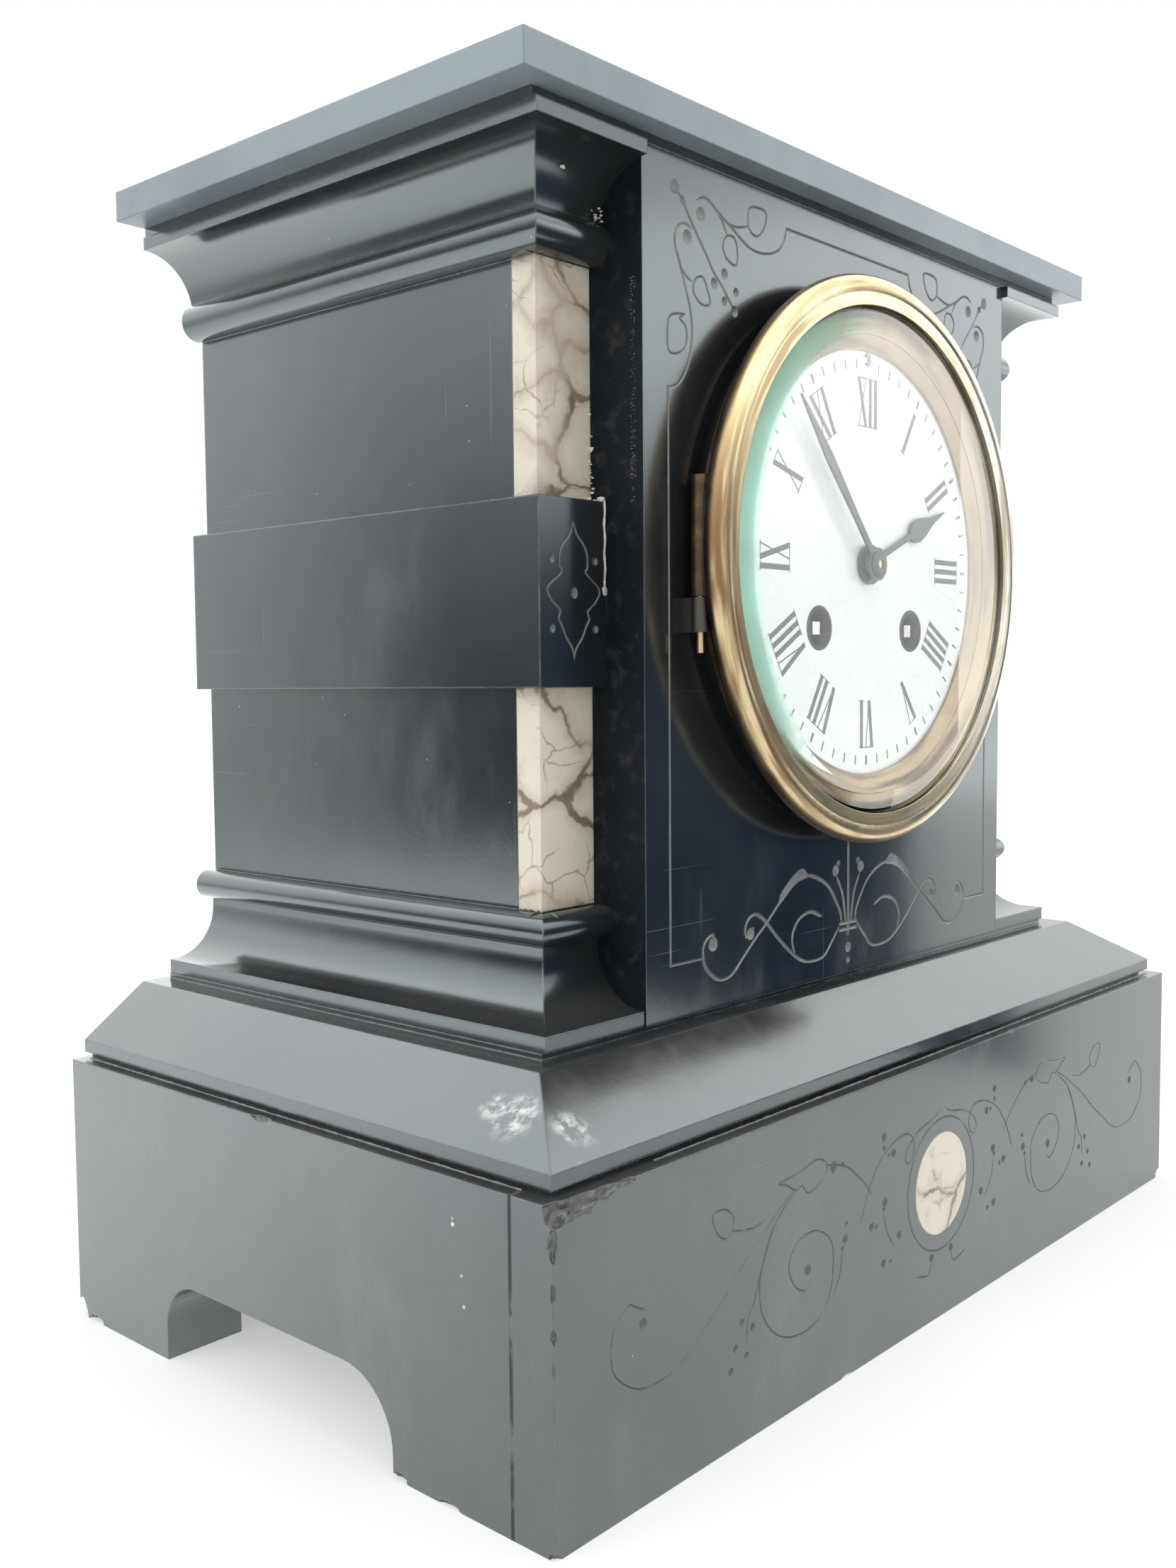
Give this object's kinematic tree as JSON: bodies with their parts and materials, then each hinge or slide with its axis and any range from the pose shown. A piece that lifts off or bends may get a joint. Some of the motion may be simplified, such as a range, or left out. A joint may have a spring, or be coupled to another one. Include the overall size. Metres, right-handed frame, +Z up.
{
  "type": "mantel clock",
  "caption": "Mantel clock in black slate with marble corner strips, a hinged glazed bezel over a white dial, and a striking movement with pendulum and bell inside.",
  "frame": {"origin": "middle of the bottom of the clock", "axes": "+Z up, the dial looks along -Y, +X to the right as seen from the front"},
  "size_m": [0.26, 0.1526, 0.26],
  "materials": {
    "slate": "polished",
    "marble": "polished",
    "brass": "gilt",
    "steel": "satin",
    "glass": "polished",
    "enamel": "glossy"
  },
  "bodies": {
    "case": {"plinth_front": "slate", "plinth_sides": "slate", "plinth_back": "slate", "plinth_inlay": "marble", "base_slab": "slate", "lower_moulding_left": "slate", "lower_moulding_right": "slate", "side_wall_left": "slate", "side_wall_right": "slate", "bands": "slate", "marble_strips": "marble", "upper_moulding_left": "slate", "upper_moulding_right": "slate", "cornice_slab": "slate", "top_slab": "slate", "front_panel": "slate", "back_panel": "slate", "mount_ring": "brass", "hinge_pins": "steel", "dial": "enamel", "front_plate": "brass", "back_plate": "brass", "pillars": "brass", "clicks": "steel", "suspension_cock": "brass", "suspension_spring": "steel", "bell": "brass", "bell_stand": "steel", "straps": "brass", "strap_screws": "steel", "back_ring": "brass"},
    "bezel": {"bezel_frame": "brass", "bezel_glass": "glass", "sight_ring": "brass"},
    "back_door": {"back_door": "brass"},
    "minute": {"minute_hand": "steel", "cannon_pinion": "brass", "hand_nut": "brass"},
    "minute_wheel": {"minute_wheel": "brass"},
    "hour": {"hour_wheel": "brass", "hour_hand": "steel"},
    "escape": {"escape_wheel": "brass"},
    "third": {"third_wheel": "brass"},
    "centre": {"centre_wheel": "brass"},
    "time_second": {"time_second_wheel": "brass"},
    "time_barrel": {"time_barrel": "brass"},
    "fly": {"fly": "brass"},
    "warning": {"warning_wheel": "brass"},
    "locking": {"locking_wheel": "brass"},
    "pin": {"pin_wheel": "brass"},
    "strike_second": {"strike_second_wheel": "brass"},
    "strike_barrel": {"strike_barrel": "brass"},
    "time_winding_arbor": {"time_arbor": "steel"},
    "strike_winding_arbor": {"strike_arbor": "steel"},
    "pendulum": {"pendulum_rod": "steel", "pendulum_bob": "brass"},
    "anchor": {"anchor": "steel"},
    "regulating": {"regulating_arbor": "steel"},
    "slit_block": {"slit_block": "brass"},
    "hammer": {"hammer": "steel"}
  },
  "joints": [
    {"name": "bezel_hinge", "type": "hinge", "parent": "case", "child": "bezel", "pos_m": [-0.0622, -0.05505, 0.1733], "axis": [0, 0, -1], "range_deg": [0, 110]},
    {"name": "back_door_hinge", "type": "hinge", "parent": "case", "child": "back_door", "pos_m": [-0.0565, 0.07305, 0.1733], "axis": [0, 0, 1], "range_deg": [0, 110]},
    {"name": "minute_turn", "type": "hinge", "parent": "case", "child": "minute", "pos_m": [0, -0.04625, 0.1733], "axis": [0, 1, 0], "continuous": true},
    {"name": "minute_wheel_turn", "type": "hinge", "parent": "case", "child": "minute_wheel", "pos_m": [0, -0.04625, 0.1853], "axis": [0, 1, 0], "continuous": true},
    {"name": "hour_turn", "type": "hinge", "parent": "case", "child": "hour", "pos_m": [0, -0.04825, 0.1733], "axis": [0, 1, 0], "continuous": true},
    {"name": "escape_turn", "type": "hinge", "parent": "case", "child": "escape", "pos_m": [0, -0.02825, 0.1943], "axis": [0, 1, 0], "continuous": true},
    {"name": "third_turn", "type": "hinge", "parent": "case", "child": "third", "pos_m": [-0.01153, -0.02825, 0.18739], "axis": [0, 1, 0], "continuous": true},
    {"name": "centre_turn", "type": "hinge", "parent": "case", "child": "centre", "pos_m": [0, -0.02825, 0.1733], "axis": [0, 1, 0], "continuous": true},
    {"name": "time_second_turn", "type": "hinge", "parent": "case", "child": "time_second", "pos_m": [0.01744, -0.02825, 0.1794], "axis": [0, 1, 0], "continuous": true},
    {"name": "time_barrel_turn", "type": "hinge", "parent": "case", "child": "time_barrel", "pos_m": [0.0198, -0.02825, 0.1583], "axis": [0, 1, 0], "continuous": true},
    {"name": "fly_turn", "type": "hinge", "parent": "case", "child": "fly", "pos_m": [-0.01423, -0.02825, 0.20381], "axis": [0, 1, 0], "continuous": true},
    {"name": "warning_turn", "type": "hinge", "parent": "case", "child": "warning", "pos_m": [-0.02021, -0.02825, 0.20042], "axis": [0, 1, 0], "continuous": true},
    {"name": "locking_turn", "type": "hinge", "parent": "case", "child": "locking", "pos_m": [-0.02421, -0.02825, 0.1935], "axis": [0, 1, 0], "continuous": true},
    {"name": "pin_turn", "type": "hinge", "parent": "case", "child": "pin", "pos_m": [-0.02671, -0.02825, 0.18478], "axis": [0, 1, 0], "continuous": true},
    {"name": "strike_second_turn", "type": "hinge", "parent": "case", "child": "strike_second", "pos_m": [-0.0317, -0.02825, 0.17588], "axis": [0, 1, 0], "continuous": true},
    {"name": "strike_barrel_turn", "type": "hinge", "parent": "case", "child": "strike_barrel", "pos_m": [-0.0198, -0.02825, 0.1583], "axis": [0, 1, 0], "continuous": true},
    {"name": "time_winding", "type": "hinge", "parent": "case", "child": "time_winding_arbor", "pos_m": [0.0198, -0.03625, 0.1583], "axis": [0, 1, 0], "continuous": true},
    {"name": "strike_winding", "type": "hinge", "parent": "case", "child": "strike_winding_arbor", "pos_m": [-0.0198, -0.03625, 0.1583], "axis": [0, 1, 0], "continuous": true},
    {"name": "pendulum_swing", "type": "hinge", "parent": "case", "child": "pendulum", "pos_m": [0, -0.00625, 0.2083], "axis": [0, 1, 0], "range_deg": [-3, 3]},
    {"name": "anchor_swing", "type": "hinge", "parent": "case", "child": "anchor", "pos_m": [0, -0.01625, 0.2083], "axis": [0, 1, 0], "range_deg": [-3, 3]},
    {"name": "regulating_turn", "type": "hinge", "parent": "case", "child": "regulating", "pos_m": [0, -0.02625, 0.2201], "axis": [0, 1, 0], "range_deg": [-40, 40]},
    {"name": "slit_block_slide", "type": "slide", "parent": "case", "child": "slit_block", "axis": [0, 0, 1], "range_m": [-0.001, 0.001]},
    {"name": "hammer_swing", "type": "hinge", "parent": "case", "child": "hammer", "pos_m": [-0.038, -0.01625, 0.1868], "axis": [0, 1, 0], "range_deg": [0, 14], "stiffness_Nm_per_rad": 0.01, "springref_deg": -5.73}
  ],
  "couplings": [
    {"joint": "minute_wheel_turn", "follows": "minute_turn", "ratio": -0.33333},
    {"joint": "hour_turn", "follows": "minute_turn", "ratio": 0.083333},
    {"joint": "third_turn", "follows": "escape_turn", "ratio": -0.090909},
    {"joint": "centre_turn", "follows": "escape_turn", "ratio": 0.0075758},
    {"joint": "time_second_turn", "follows": "escape_turn", "ratio": -0.00068871},
    {"joint": "time_barrel_turn", "follows": "escape_turn", "ratio": 0.00011478},
    {"joint": "warning_turn", "follows": "locking_turn", "ratio": -7},
    {"joint": "fly_turn", "follows": "locking_turn", "ratio": 48},
    {"joint": "pin_turn", "follows": "locking_turn", "ratio": -0.13333},
    {"joint": "strike_second_turn", "follows": "locking_turn", "ratio": 0.017778},
    {"joint": "strike_barrel_turn", "follows": "locking_turn", "ratio": -0.002963},
    {"joint": "anchor_swing", "follows": "pendulum_swing", "ratio": 1},
    {"joint": "regulating_turn", "follows": "slit_block_slide", "rad_per_m": -500}
  ]
}
